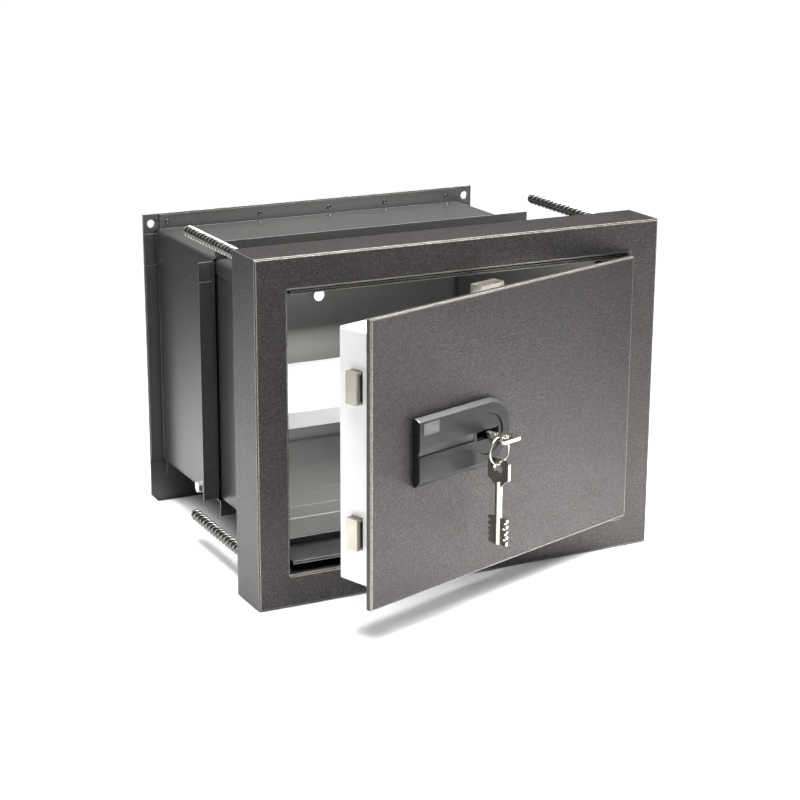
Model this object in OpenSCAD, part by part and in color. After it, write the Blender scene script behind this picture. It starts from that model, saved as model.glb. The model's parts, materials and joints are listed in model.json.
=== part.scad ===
// Wall safe with a telescopic body: a front frame with a short shell, a rear box that slides
// over it to suit the wall's depth, and a hinged door with a key-driven three-way bolt work.
// X is the width with 0 at the middle, Y = 0 is the frame's front face and +Y goes into the
// wall, Z = 0 is the frame's bottom edge. The door is drawn part open with its bolts drawn in.

/* [Front frame] */
// Overall width of the frame
frame_w = 440; // [439:0.5:441]
// Overall height of the frame
frame_h = 344; // [343:0.5:345]
// Depth of the frame's folded sides
frame_d = 53; // [52.5:0.25:54]
// Thickness of the frame's sheet
frame_t = 3; // [2.8:0.1:3.1]
// Width of the frame's border at the left and right
border_side = 33; // [32.5:0.1:33.2]
// Width of the frame's border at the top and bottom
border_end = 32; // [31.5:0.1:32]
// Bevel on the frame's front edges
frame_bevel = 1.5; // [0.5:0.1:1.6]

/* [Body] */
// Depth at which the front shell ends
front_shell_end = 250; // [240:1:255]
// Depth at which the rear box starts
rear_start = 191.5; // [185:0.5:200]
// Overall depth of the safe
total_d = 351; // [345:1:380]
// Width of the rear box's front flange
flange_w = 15.5; // [12:0.5:15.5]
// Diameter of the ribbed wall anchors
anchor_d = 12; // [10:0.5:12]
// Length of the wall anchors behind the frame
anchor_len = 162; // [120:1:170]
// Diameter of the fixing holes in the rear plate
fixing_hole_d = 8; // [6:0.5:9]
// Diameter of the rear plate's middle bolt hole
wall_bolt_hole_d = 13.5; // [10:0.5:14]

/* [Door] */
// Width of the door plate
plate_w = 371; // [370:0.5:371]
// Bottom edge of the door plate
plate_z0 = 35.5; // [35:0.25:36]
// Top edge of the door plate
plate_z1 = 310; // [309:0.25:310.5]
// Thickness of the door plate
plate_t = 6.5; // [6:0.1:6.5]
// Angle the door stands open at rest
door_open = 18.6; // [5:0.1:60]

/* [Lock] */
// Travel of every bolt from drawn in to thrown
bolt_throw = 8; // [6:0.5:8]
// Turn of the key that throws the bolts
key_turn = 90; // [80:1:90]
// Overall length of a key
key_len = 83; // [82:0.5:83]
// Width of a key's bow
bow_w = 25.5; // [24:0.5:25.5]

/* [Hidden] */

$fn = 48;
cut = 0.5;            // how far a cutter runs past the face it opens
play = 0.3;           // clearance of a sliding fit

// Frame
half_w = frame_w / 2;
open_x = half_w - border_side;
open_z0 = border_end;
open_z1 = frame_h - border_end;
return_d = 25;        // depth of the folded returns above and below the door
back_plate_t = 3;
jamb_t = 3.5;
jamb_y0 = 7;
jamb_z0 = 40;
jamb_z1 = 309.5;
jamb_x = 180.7;

// Shells
shell_x = 178;        // inside half width of the front shell
shell_z0 = 50.2;      // inside floor of the front shell
shell_z1 = 300.6;     // inside top of the front shell
shell_t = 1.8;
shell_r = 4;
cover_t = 1.2;
cover_drop = 13.5;    // how far the front cover folds down the sides
bead_y = [102, 134, 180];
bead_h = 0.9;
bead_r = 4;
rear_x = 181.6;       // inside half width of the rear shell
rear_t = 1.6;
rear_z0 = 46;         // underside of the rear shell
rear_z1 = 305.5;      // top of the rear box's cover
rear_cover_t = 1.4;
rear_cover_r = 3;     // inside radius of the cover's folds
rear_drop = 37;
plate_half_w = 199;   // half width of the flange and the rear plate
rear_plate_t = 2;
rear_plate_h = 322.5;
rear_plate_y = total_d - rear_plate_t;
rear_flange_y = rear_plate_y - rear_t;
fixing_x = 190;
fixing_z = 312;
wall_bolt = [7, 213];
anchor_x = 200;
anchor_z = [29, 330];
rib_pitch = 8;
rib_h = 0.8;
rib_w = 2.6;

// Shelf
shelf_y = [60, 225];
shelf_top = 175.5;
shelf_t = 1.6;
shelf_lip = 17;
bracket_w = 14;
rivet_r = 1.95;
rivet_y = [85, 145, 205];

// Clamp screws
clamp_y = 229;
clamp_z = 53;
clamp_r = 3;
nut_r = 6.6;
nut_h = 4.5;

// Hinges
pivot = [205, 8];
pin_r = 2.5;
pin_play = 0.05;
eye_r = 4.7;
arm_t = 4;
arm_h = 20;
arm_z = [85, 260];    // middle height of each arm
ear_t = 4;
ear_gap = 0.4;

// Door
lining_x = [-177, 170];
lining_z = [53.5, 294];
lining_back = 48.4;
lining_t = 1.5;
post_r = 4;
post_x = [-145, 150];
post_z = [72, 276];
screw_r = 2;

// Lock, measured from the lock's axis
lock_x = -38;
lock_z = 175;
esc_x = -35;          // centre of the escutcheon's round end
esc_r = 33;
esc_left = -131.5;
esc_h = 8;
esc_rim = 2.5;        // height of the escutcheon's upright rim
esc_top = 2.7;        // how far its front face stands back from the outline: top,
esc_bottom = 6;       // bottom
esc_end = 6.35;       // and round end
track_z = [-3.2, 5];  // lower and upper edge of the groove along the escutcheon
track_depth = 1.8;
disc_sink = 1;        // how far the keyhole disc lies below the escutcheon's face
label_x = [-126.5, -105.5];
label_z = [17.3, 28.8];
label_t = 0.4;
disc_r = 19.5;
hard_n = [plate_t, 9.5];
strip_n = [10.5, 13.5];
cam_n = [14, 17.5];
case_n = [18.2, 45.2];
cam_r = 34;
slot_r0 = 20;         // distance of the drive pins from the lock's axis, bolts drawn in
drive_pin_r = 2.4;
slot_half = 2.75;
barrel_r = 16;
barrel_play = 0.05;
case_x = 32;
case_z = 46;
case_t = 2;
lock_post = [26, 40];
lever_x = 26;
lever_z = 24;
lever_t = 2.6;
lever_gap = 0.6;
levers = 7;
lever_pivot = 21;     // distance of the levers' post from the lock's axis
lever_pin_r = 2.5;

// Bolts
bolt_end = -184.5;    // free end of the left bolts, drawn in
bar_x = [-163, -160];
left_bolt_n = [20, 33.8];
left_bolt_z = [[226.5, 257], [88, 118.5]];
bar_z = [78, 268];
pocket = 1.5;
rim = 2.2;
vert_bolt_x = [-6.5, 26.5];
vert_bolt_n = [32.5, 46.2];
top_bolt_z = [277, 305.3];
bottom_bolt_z = [44.5, 72.5];
strip_w = 12;

// Keys
shank_r = 3.5;
bow_t = 3.4;
bow_len = 20;
bow_hole_r = 5.5;
bow_hole_in = 8.5;    // distance of the bow's hole from the end of the key
bit_reach = 11.2;
bit_t = 3;
bit_len = 26;
key_n0 = -38.5;
ring_r = 13;
ring_wire = 1;
ring_side = 9.1;      // ring's centre from the key's axis, towards the door's free edge
ring_drop = 9.5;
ring_n = key_n0 + bow_hole_in;
spare_hang = 4.1;     // hole of the spare key below the ring's wire

// ---- helpers ----

module block(x, y, z) {
    translate([x[0], y[0], z[0]])
        cube([x[1] - x[0], y[1] - y[0], z[1] - z[0]]);
}

// A shape drawn in the X-Z plane, filled from depth n[0] to depth n[1].
module slab(n) {
    translate([0, n[1], 0])
        rotate([90, 0, 0])
            linear_extrude(height = n[1] - n[0])
                children();
}

module rod_x(x, y, z, r) {
    translate([x[0], y, z])
        rotate([0, 90, 0])
            cylinder(r = r, h = x[1] - x[0]);
}

module rod_y(x, y, z, r) {
    translate([x, y[0], z])
        rotate([-90, 0, 0])
            cylinder(r = r, h = y[1] - y[0]);
}

module hex_x(x, y, z, r) {
    translate([x[0], y, z])
        rotate([0, 90, 0])
            cylinder(r = r, h = x[1] - x[0], $fn = 6);
}

module both_sides() {
    children();
    mirror([1, 0, 0]) children();
}

module rect(x, z) {
    translate([x[0], z[0]])
        square([x[1] - x[0], z[1] - z[0]]);
}

// Rectangle with round corners.
module round_rect(x, z, r) {
    rect([x[0] + r, x[1] - r], z);
    rect(x, [z[0] + r, z[1] - r]);
    for (cx = [x[0] + r, x[1] - r])
        for (cz = [z[0] + r, z[1] - r])
            translate([cx, cz]) circle(r = r);
}

// Strip of a given width between two points, with round ends.
module link(a, b, w) {
    d = b - a;
    translate(a)
        rotate(atan2(d[1], d[0]))
            translate([0, -w / 2])
                square([norm(d), w]);
    for (p = [a, b])
        translate(p) circle(d = w);
}

// Cutters that bevel an edge running along X or along Z.
module bevel_x(x, y, z, c) {
    side = c * sqrt(2);
    translate([x[0], y, z])
        rotate([45, 0, 0])
            translate([0, -side / 2, -side / 2])
                cube([x[1] - x[0], side, side]);
}

module bevel_z(x, y, z, c) {
    side = c * sqrt(2);
    translate([x, y, z[0]])
        rotate([0, 0, 45])
            translate([-side / 2, -side / 2, 0])
                cube([side, side, z[1] - z[0]]);
}

// Everything on the door is drawn closed and swung open here about the hinge.
module at_door() {
    translate([pivot[0], pivot[1], 0])
        rotate([0, 0, door_open])
            translate([-pivot[0], -pivot[1], 0])
                children();
}

// ---- frame ----

module frame_face_cuts() {
    block([-open_x, open_x], [-cut, frame_t + cut], [open_z0, open_z1]);
    for (z = [0, open_z0, open_z1, frame_h])
        bevel_x(z == 0 || z == frame_h ? [-half_w - cut, half_w + cut] : [-open_x, open_x],
                0, z, frame_bevel);
    both_sides() {
        bevel_z(half_w, 0, [-cut, frame_h + cut], frame_bevel);
        bevel_z(open_x, 0, [open_z0, open_z1], frame_bevel);
    }
}

module frame_windows() {
    left = [-open_x - frame_t - cut, -open_x + cut];
    right = [open_x - cut, open_x + frame_t + cut];
    for (z = left_bolt_z)
        block(left, [left_bolt_n[0] - 1.5, left_bolt_n[1] + 1.5], [z[0] - 1.5, z[1] + 1.5]);
    for (z = arm_z)
        block(right, [frame_t, 35], [z - arm_h / 2 - 1.5, z + arm_h / 2 + 1.5]);
}

module front_frame() {
    color("dimgray")
    difference() {
        union() {
            block([-half_w, half_w], [0, frame_t], [0, frame_h]);
            both_sides()
                block([half_w - frame_t, half_w], [0, frame_d], [0, frame_h]);
            for (z = [0, frame_h - frame_t])
                block([-half_w, half_w], [0, frame_d], [z, z + frame_t]);
        }
        frame_face_cuts();
    }
}

// Strips that line the opening behind the frame's face, one to a side.
module frame_returns() {
    color("dimgray")
    difference() {
        union() {
            both_sides()
                block([open_x, open_x + frame_t], [frame_t, frame_d - back_plate_t],
                      [open_z0 - frame_t, open_z1 + frame_t]);
            for (z = [open_z0 - frame_t, open_z1])
                block([-open_x + 0.1, open_x - 0.1], [frame_t, return_d], [z, z + frame_t]);
        }
        frame_windows();
    }
}

module frame_back_plate() {
    color("dimgray")
    difference() {
        block([-half_w + frame_t, half_w - frame_t], [frame_d - back_plate_t, frame_d],
              [frame_t, frame_h - frame_t]);
        block([-shell_x, shell_x], [frame_d - back_plate_t - cut, frame_d + cut],
              [shell_z0, shell_z1]);
    }
}

module door_jambs() {
    depth = [jamb_y0, frame_d - back_plate_t];
    window_x = [vert_bolt_x[0] - 1, vert_bolt_x[1] + 1];
    window_y = [vert_bolt_n[0] - 1, vert_bolt_n[1] + 1];
    color("dimgray")
    difference() {
        union() {
            block([-jamb_x, jamb_x], depth, [jamb_z0, jamb_z0 + jamb_t]);
            block([-jamb_x, jamb_x], depth, [jamb_z1 - jamb_t, jamb_z1]);
        }
        block(window_x, window_y, [jamb_z0 - cut, jamb_z0 + jamb_t + cut]);
        block(window_x, window_y, [jamb_z1 - jamb_t - cut, jamb_z1 + cut]);
    }
}

// Profile of a ribbed bar: one rib of rib_w in every rib_pitch.
module ribbed_bar(len, r) {
    core = r - rib_h;
    ribs = floor(len / rib_pitch);
    rotate_extrude()
        polygon(concat(
            [[0, 0], [core, 0]],
            [for (i = [0:ribs - 1])
                for (p = [[core, 2], [r, 2.8], [r, 2 + rib_w - 0.8], [core, 2 + rib_w]])
                    [p[0], p[1] + i * rib_pitch]],
            [[core, len], [0, len]]));
}

module wall_anchors() {
    color("gray")
    both_sides()
        for (z = anchor_z)
            translate([anchor_x, frame_d, z])
                rotate([-90, 0, 0])
                    ribbed_bar(anchor_len, anchor_d / 2);
}

module front_shell() {
    color("dimgray")
    difference() {
        union() {
            difference() {
                slab([frame_d, front_shell_end])
                    round_rect([-shell_x - shell_t, shell_x + shell_t],
                               [shell_z0 - shell_t, shell_z1 + shell_t], shell_r);
                slab([frame_d - cut, front_shell_end + cut])
                    round_rect([-shell_x, shell_x], [shell_z0, shell_z1], shell_r - shell_t);
            }
            for (y = bead_y)
                intersection() {
                    rod_x([-shell_x + 14, shell_x - 14], y, shell_z0 + bead_h - bead_r, bead_r);
                    block([-shell_x, shell_x], [y - bead_r, y + bead_r],
                          [shell_z0 - shell_t / 2, shell_z0 + bead_r]);
                }
        }
        both_sides()
            for (y = rivet_y)
                rod_x([shell_x - cut, shell_x + shell_t + cut], y,
                      shelf_top - shelf_lip / 2, rivet_r + pin_play);
    }
}

module front_top_cover() {
    top = shell_z1 + shell_t;
    side = shell_x + shell_t;
    color("dimgray")
    difference() {
        slab([frame_d, front_shell_end - 4])
            difference() {
                round_rect([-side - cover_t, side + cover_t], [top - 40, top + cover_t],
                           shell_r + cover_t);
                round_rect([-side, side], [top - 60, top], shell_r);
                rect([-side - 5, side + 5], [top - 60, top - cover_drop]);
            }
    }
}

// ---- shelf ----

module shelf_brackets() {
    deck = shelf_top - shelf_t;
    color("dimgray")
    both_sides()
        difference() {
            union() {
                block([shell_x - bracket_w, shell_x], [63, shelf_y[1] - 3],
                      [deck - shelf_t, deck]);
                block([shell_x - shelf_t, shell_x], [63, shelf_y[1] - 3],
                      [shelf_top - shelf_lip, deck]);
            }
            for (y = rivet_y)
                rod_x([shell_x - 4, shell_x + cut], y, shelf_top - shelf_lip / 2,
                      rivet_r + pin_play);
        }
}

module shelf_rivets() {
    color("silver")
    both_sides()
        for (y = rivet_y) {
            z = shelf_top - shelf_lip / 2;
            rod_x([shell_x - shelf_t - 1.2, shell_x + shell_t + 0.9], y, z, rivet_r);
            rod_x([shell_x - shelf_t - 1.2, shell_x - shelf_t], y, z, 3.6);
            rod_x([shell_x + shell_t, shell_x + shell_t + 0.9], y, z, 3.4);
        }
}

module shelf() {
    x = [-shell_x + 0.5, shell_x - 0.5];
    lip = [shelf_top - shelf_lip, shelf_top];
    color("white") {
        block(x, shelf_y, [shelf_top - shelf_t, shelf_top]);
        block(x, [shelf_y[0], shelf_y[0] + shelf_t], lip);
        block(x, [shelf_y[1] - shelf_t, shelf_y[1]], lip);
    }
}

// ---- hinges ----

module hinge_brackets() {
    color("dimgray")
    for (z = arm_z)
        for (side = [-1, 1]) {
            inner = arm_h / 2 + ear_gap;
            mid = z + side * (inner + ear_t / 2);
            difference() {
                block([pivot[0] - 5, half_w - frame_t], [frame_t, pivot[1] + 6],
                      [mid - ear_t / 2, mid + ear_t / 2]);
                translate([pivot[0], pivot[1], mid - ear_t])
                    cylinder(r = pin_r + 0.01, h = 2 * ear_t);
            }
        }
}

module hinge_pins() {
    reach = arm_h / 2 + ear_gap + ear_t;
    color("silver")
    for (z = arm_z)
        translate([pivot[0], pivot[1], z - reach]) {
            cylinder(r = pin_r, h = 2 * reach);
            translate([0, 0, 2 * reach])
                cylinder(r = 4, h = 1.6);
        }
}

// Goose-neck arm: from the pin back inside the frame, across and forward to the door.
module hinge_arm(z) {
    elbow = [pivot[0], pivot[1] + 21.3];
    knee = [194, elbow[1]];
    shin = [185, 18];
    foot = [178.5, plate_t + 2];
    at_door()
    translate([0, 0, z - arm_h / 2])
    difference() {
        union() {
            linear_extrude(height = arm_h) {
                link(pivot, elbow, arm_t);
                link(elbow, knee, arm_t);
                link(knee, shin, arm_t);
                link(shin, foot, arm_t);
            }
            translate([pivot[0], pivot[1], 0]) cylinder(r = eye_r, h = arm_h);
            block([171.5, 184], [plate_t, plate_t + arm_t], [0, arm_h]);
        }
        translate([pivot[0], pivot[1], -cut])
            cylinder(r = pin_r + pin_play, h = arm_h + 2 * cut);
    }
}

module hinge_arm_upper() {
    color("dimgray") hinge_arm(arm_z[1]);
}

module hinge_arm_lower() {
    color("dimgray") hinge_arm(arm_z[0]);
}

// ---- rear box ----

module rear_shell() {
    side = rear_x + rear_t;
    floor_top = rear_z0 + rear_t;
    sheet_top = rear_z1 - rear_cover_t - rear_cover_r - 0.2;
    cover_low = rear_z1 - rear_drop;
    color("dimgray")
    difference() {
        union() {
            slab([rear_start, rear_plate_y])
                difference() {
                    round_rect([-side, side], [rear_z0, sheet_top + 40], shell_r);
                    round_rect([-rear_x, rear_x], [floor_top, sheet_top + 60],
                               shell_r - rear_t);
                    rect([-side - 5, side + 5], [sheet_top, sheet_top + 60]);
                }
            both_sides() {
                block([rear_x + 0.5, plate_half_w], [rear_start, rear_start + rear_t],
                      [rear_z0 + shell_r, cover_low - 0.3]);
                block([side + rear_cover_t + 0.2, plate_half_w],
                      [rear_start, rear_start + rear_t], [cover_low - 1, 281]);
                block([rear_x + 0.5, plate_half_w - 1], [rear_flange_y, rear_plate_y],
                      [rear_z0 + shell_r, cover_low - 1]);
            }
            for (y = [rear_start, rear_flange_y])
                block([-rear_x + 1, rear_x - 1], [y, y + rear_t],
                      [rear_z0 - flange_w, rear_z0 + 1]);
        }
        both_sides()
            rod_x([rear_x - cut, side + cut], clamp_y, clamp_z, clamp_r + 0.2);
    }
}

module rear_top_cover() {
    inner = rear_x + rear_t;
    side = inner + rear_cover_t;
    low = rear_z1 - rear_drop;
    color("dimgray") {
        slab([rear_start, rear_plate_y])
            difference() {
                round_rect([-side, side], [low - 20, rear_z1], rear_cover_r + rear_cover_t);
                round_rect([-inner, inner], [low - 40, rear_z1 - rear_cover_t],
                           rear_cover_r);
                rect([-side - 5, side + 5], [low - 60, low]);
            }
        both_sides() {
            block([side - 1, plate_half_w], [rear_start, rear_start + rear_cover_t],
                  [281.8, rear_z1 - shell_r]);
            block([side - 1, plate_half_w - 1],
                  [rear_plate_y - rear_cover_t, rear_plate_y], [low, rear_z1 - shell_r]);
        }
        for (y = [rear_start, rear_plate_y - rear_cover_t])
            block([-rear_x + 1, rear_x - 1], [y, y + rear_cover_t],
                  [rear_z1 - 1, rear_z1 + flange_w]);
    }
}

module rear_plate() {
    y = [rear_plate_y, total_d];
    through = [rear_plate_y - cut, total_d + cut];
    corner = 8;
    color("dimgray")
    difference() {
        block([-plate_half_w, plate_half_w], y, [0, rear_plate_h]);
        both_sides() {
            rod_y(fixing_x, through, fixing_z, fixing_hole_d / 2);
            translate([plate_half_w, through[0], 0])
                rotate([0, 45, 0])
                    translate([-corner / sqrt(2), 0, -corner / sqrt(2)])
                        cube([corner * sqrt(2), 2 * rear_plate_t, corner * sqrt(2)]);
        }
        rod_y(wall_bolt[0], through, wall_bolt[1], wall_bolt_hole_d / 2);
    }
}

module clamp_nuts() {
    inner = rear_x + rear_t;
    color("silver")
    both_sides()
        difference() {
            hex_x([inner, inner + nut_h], clamp_y, clamp_z, nut_r);
            rod_x([inner - cut, inner + nut_h + cut], clamp_y, clamp_z, clamp_r + pin_play);
        }
}

module clamp_screws() {
    outer = rear_x + rear_t + nut_h;
    color("silver")
    both_sides() {
        rod_x([shell_x + shell_t + 0.1, outer + 1], clamp_y, clamp_z, clamp_r);
        hex_x([outer + 0.4, outer + 4], clamp_y, clamp_z, nut_r - 0.4);
    }
}

// ---- door ----

module key_passage(n) {
    block([lock_x - 13.5, lock_x + 13.5], n, [lock_z - 3, lock_z + 3]);
    rod_y(lock_x, n, lock_z, 5);
}

// Plate lying in the X-Z plane with a bevel round its front face.
module bevelled_plate(half, z, t, c) {
    intersection() {
        translate([0, 0, z[0]])
            linear_extrude(height = z[1] - z[0])
                polygon([[-half, t], [-half, c], [-half + c, 0],
                         [half - c, 0], [half, c], [half, t]]);
        translate([-half, 0, 0])
            rotate([90, 0, 90])
                linear_extrude(height = 2 * half)
                    polygon([[t, z[0]], [c, z[0]], [0, z[0] + c],
                             [0, z[1] - c], [c, z[1]], [t, z[1]]]);
    }
}

module door_plate() {
    color("dimgray")
    at_door()
    difference() {
        bevelled_plate(plate_w / 2, [plate_z0, plate_z1], plate_t, 1.2);
        key_passage([-cut, plate_t + cut]);
    }
}

module door_lining() {
    inner_x = [lining_x[0] + lining_t, lining_x[1] - lining_t];
    inner_z = [lining_z[0] + lining_t, lining_z[1] - lining_t];
    window_x = [vert_bolt_x[0] - 0.6, vert_bolt_x[1] + 0.6];
    window_n = [vert_bolt_n[0] - 0.6, vert_bolt_n[1] + 0.5];
    color("white")
    at_door()
    difference() {
        slab([plate_t, lining_back]) round_rect(lining_x, lining_z, 2);
        block(inner_x, [plate_t - cut, lining_back - lining_t], inner_z);
        for (z = left_bolt_z)
            block([lining_x[0] - cut, lining_x[0] + lining_t + cut],
                  [left_bolt_n[0] - 0.6, left_bolt_n[1] + 0.6], [z[0] - 0.6, z[1] + 0.6]);
        block(window_x, window_n, [lining_z[1] - lining_t - cut, lining_z[1] + cut]);
        block(window_x, window_n, [lining_z[0] - cut, lining_z[0] + lining_t + cut]);
        for (x = post_x)
            for (z = post_z)
                rod_y(x, [lining_back - 2 * lining_t, lining_back + cut], z, screw_r + 0.2);
    }
}

module lining_posts() {
    color("silver")
    at_door()
    for (x = post_x)
        for (z = post_z)
            difference() {
                rod_y(x, [plate_t, lining_back - lining_t], z, post_r);
                rod_y(x, [30, lining_back], z, screw_r + pin_play);
            }
}

module lining_screws() {
    color("silver")
    at_door()
    for (x = post_x)
        for (z = post_z)
            difference() {
                union() {
                    rod_y(x, [33, lining_back + 1], z, screw_r);
                    rod_y(x, [lining_back, lining_back + 1.5], z, 3.8);
                }
                block([x - 0.5, x + 0.5], [lining_back + 0.8, lining_back + 2], [z - 5, z + 5]);
            }
}

// ---- lock ----

module hard_plate() {
    color("slategray")
    at_door()
    difference() {
        block([lock_x - 24, lock_x + 24], hard_n, [lock_z - 24, lock_z + 24]);
        key_passage([hard_n[0] - cut, hard_n[1] + cut]);
    }
}

module lock_case() {
    color("darkgray")
    at_door()
    difference() {
        block([lock_x - case_x, lock_x + case_x], case_n, [lock_z - case_z, lock_z + case_z]);
        block([lock_x - case_x + case_t, lock_x + case_x - case_t],
              [case_n[0] + case_t, case_n[1] + cut],
              [lock_z - case_z + 14, lock_z + case_z - 14]);
        rod_y(lock_x, [case_n[0] - cut, case_n[0] + case_t + cut], lock_z,
              barrel_r + barrel_play);
        for (x = [-1, 1])
            for (z = [-1, 1])
                rod_y(lock_x + x * lock_post[0], [case_n[0] - cut, case_n[1] + cut],
                      lock_z + z * lock_post[1], screw_r + 0.2);
    }
}

module lock_cover() {
    color("silver")
    at_door()
    difference() {
        block([lock_x - case_x, lock_x + case_x], [case_n[1], case_n[1] + 1.4],
              [lock_z - case_z + 12, lock_z + case_z - 12]);
        rod_y(lock_x, [case_n[1] - cut, case_n[1] + 2], lock_z, shank_r + 0.5);
    }
}

module lock_posts() {
    color("silver")
    at_door()
    for (x = [-1, 1])
        for (z = [-1, 1])
            difference() {
                rod_y(lock_x + x * lock_post[0], [plate_t, case_n[0]],
                      lock_z + z * lock_post[1], post_r);
                rod_y(lock_x + x * lock_post[0], [plate_t + 2, case_n[0] + cut],
                      lock_z + z * lock_post[1], screw_r + pin_play);
            }
}

module lock_screws() {
    color("silver")
    at_door()
    for (x = [-1, 1])
        for (z = [-1, 1]) {
            rod_y(lock_x + x * lock_post[0], [plate_t + 4, case_n[1] + 0.2],
                  lock_z + z * lock_post[1], screw_r);
            rod_y(lock_x + x * lock_post[0], [case_n[1], case_n[1] + 1.4],
                  lock_z + z * lock_post[1], 3.4);
        }
}

// Post through one end of the levers, on which they swing.
module lever_post() {
    color("silver")
    at_door()
    rod_y(lock_x + lever_pivot, [case_n[0] + case_t, case_n[1]], lock_z, lever_pin_r);
}

// Flat levers in a stack round the key's bits.
module lever_pack() {
    pitch = lever_t + lever_gap;
    start = case_n[0] + case_t + 0.8;
    color("goldenrod")
    at_door()
    for (i = [0:levers - 1]) {
        n = start + i * pitch;
        slab([n, n + lever_t])
            difference() {
                round_rect([lock_x - lever_x, lock_x + lever_x],
                           [lock_z - lever_z, lock_z + lever_z], 3);
                translate([lock_x, lock_z]) circle(r = 13.4);
                translate([lock_x + lever_pivot, lock_z]) circle(r = lever_pin_r + pin_play);
            }
    }
}

// Leaf springs beside the levers, one to a lever, held in the case.
module lever_springs() {
    pitch = lever_t + lever_gap;
    start = case_n[0] + case_t + 0.8;
    color("silver")
    at_door()
    for (i = [0:levers - 1]) {
        n = start + i * pitch + 0.3;
        block([lock_x + lever_x + 2.2, lock_x + lever_x + 2.8], [n, n + 2],
              [lock_z - lever_z, lock_z + lever_z + 8]);
        block([lock_x + lever_x + 2.2, lock_x + case_x - case_t], [n, n + 2],
              [lock_z + lever_z + 6, lock_z + lever_z + 8]);
    }
}

// Straight at the left, half round at the right end.
module esc_outline(end_x, z) {
    r = (z[1] - z[0]) / 2;
    translate([end_x, z[0] + r]) circle(r = r, $fn = 96);
    rect([esc_left, end_x], z);
}

// Groove cutter: deepest along its lower edge, running out to nothing at its upper one.
module escutcheon_track() {
    translate([esc_left - cut, 0, lock_z])
        rotate([90, 0, 90])
            linear_extrude(height = lock_x - esc_left)
                polygon([[-esc_h - cut, track_z[0]], [-esc_h + track_depth, track_z[0]],
                         [-esc_h, track_z[1]], [-esc_h - cut, track_z[1]]]);
}

module escutcheon() {
    front_z = [lock_z - esc_r + esc_bottom, lock_z + esc_r - esc_top];
    front_r = (front_z[1] - front_z[0]) / 2;
    front_x = esc_x + esc_r - esc_end - front_r;
    color("dimgray")
    at_door()
    difference() {
        hull() {
            slab([-esc_rim, 0]) esc_outline(esc_x, [lock_z - esc_r, lock_z + esc_r]);
            slab([-esc_h, -0.5]) esc_outline(front_x, front_z);
        }
        rod_y(lock_x, [-esc_h - cut, -2.9], lock_z, disc_r + 2 * play);
        rod_y(lock_x, [-5, cut], lock_z, 15);
        escutcheon_track();
    }
}

// Blank name plate with a raised border.
module blank_plate() {
    z = [lock_z + label_z[0], lock_z + label_z[1]];
    border = 0.8;
    color("silver")
    at_door()
    difference() {
        slab([-esc_h - label_t, -esc_h]) round_rect(label_x, z, 0.8);
        slab([-esc_h - label_t - cut, -esc_h - label_t / 2])
            round_rect([label_x[0] + border, label_x[1] - border],
                       [z[0] + border, z[1] - border], 0.5);
    }
}

module keyhole_disc() {
    color("dimgray")
    at_door()
    difference() {
        rod_y(lock_x, [-esc_h + disc_sink, -2.9], lock_z, disc_r);
        key_passage([-esc_h - cut, 0]);
        block([lock_x - 15, lock_x + 15], [-esc_h - cut, -esc_h + disc_sink + 2],
              [lock_z - 4.5, lock_z + 4.5]);
    }
}

// ---- bolt work ----

module bolt_guide_rail() {
    x = [lining_x[0] + lining_t + 0.3, -172];
    color("silver")
    at_door()
    difference() {
        block(x, [plate_t, 40], [bar_z[0] - 2, bar_z[1] + 2]);
        for (z = left_bolt_z)
            block([x[0] - cut, x[1] + cut], [left_bolt_n[0] - play, left_bolt_n[1] + play],
                  [z[0] - play, z[1] + play]);
    }
}

// A staple over a flat strip that runs along Z through x, or along X through z.
module staple(x, z, upright) {
    half = strip_w / 2 + play;
    leg = 3;
    n = [plate_t, strip_n[1] + play];
    a = half + leg;
    for (s = [-1, 1])
        if (upright)
            block([x + min(s * half, s * a), x + max(s * half, s * a)], n, [z - 5, z + 5]);
        else
            block([x - 5, x + 5], n, [z + min(s * half, s * a), z + max(s * half, s * a)]);
    if (upright)
        block([x - a, x + a], [n[1], n[1] + 2.5], [z - 5, z + 5]);
    else
        block([x - 5, x + 5], [n[1], n[1] + 2.5], [z - a, z + a]);
}

module strip_guides() {
    color("silver")
    at_door() {
        staple(lock_x, lock_z + 60, true);
        staple(lock_x, lock_z - 60, true);
        staple(-115, lock_z, false);
    }
}

module drive_pin(x, z) {
    rod_y(x, [strip_n[0], cam_n[1] + 0.3], z, drive_pin_r);
}

module left_bolt_bar() {
    tip = lock_x - slot_r0;
    color("silver")
    at_door()
    difference() {
        union() {
            block(bar_x, [strip_n[0], left_bolt_n[1]], bar_z);
            slab(strip_n)
                union() {
                    rect([bar_x[0], tip], [lock_z - strip_w / 2, lock_z + strip_w / 2]);
                    translate([tip, lock_z]) circle(r = 4.6);
                }
            drive_pin(tip, lock_z);
        }
        for (z = left_bolt_z)
            rod_x([bar_x[0] - cut, bar_x[1] + cut], (left_bolt_n[0] + left_bolt_n[1]) / 2,
                  (z[0] + z[1]) / 2, 2.6);
        rod_y(lock_x, [0, strip_n[1] + 0.2], lock_z, 14.6);
    }
}

module left_bolt(z) {
    mid_n = (left_bolt_n[0] + left_bolt_n[1]) / 2;
    at_door()
    difference() {
        block([bolt_end, bar_x[0]], left_bolt_n, z);
        block([bolt_end + rim, bar_x[0] - 4], [left_bolt_n[0] - cut, left_bolt_n[0] + pocket],
              [z[0] + rim, z[1] - rim]);
        rod_x([bar_x[0] - 10, bar_x[0] + cut], mid_n, (z[0] + z[1]) / 2, 2.55);
        for (e = z)
            bevel_x([bolt_end - cut, bar_x[0] + cut], left_bolt_n[0], e, 0.6);
        bevel_z(bolt_end, left_bolt_n[0], [z[0] - cut, z[1] + cut], 0.6);
    }
}

module left_bolt_upper() {
    color("lightgray") left_bolt(left_bolt_z[0]);
}

module left_bolt_lower() {
    color("lightgray") left_bolt(left_bolt_z[1]);
}

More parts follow.
